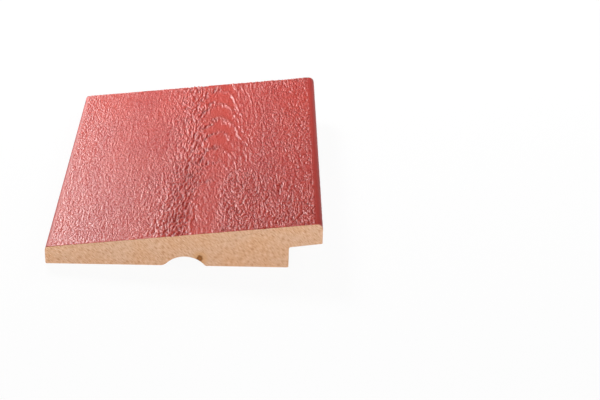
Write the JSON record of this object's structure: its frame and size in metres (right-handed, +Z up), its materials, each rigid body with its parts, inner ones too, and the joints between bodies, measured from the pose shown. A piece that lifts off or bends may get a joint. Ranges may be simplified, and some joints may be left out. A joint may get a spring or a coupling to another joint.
{
  "type": "bevel siding board",
  "caption": "Wedge-section softwood cladding board with a rabbeted lip under its thick edge, a relief groove along its back and a red-painted sawn face, for lapping on a wall",
  "frame": {"origin": "middle of the back, on the surface that the board lies on", "axes": "+X across the board from the thin edge to the thick edge, +Y along its length, +Z up from the back to the painted face"},
  "size_m": [0.145, 0.2, 0.0261],
  "materials": {
    "painted_board": "satin"
  },
  "bodies": {
    "root": {"siding_board": "painted_board"}
  },
  "joints": []
}
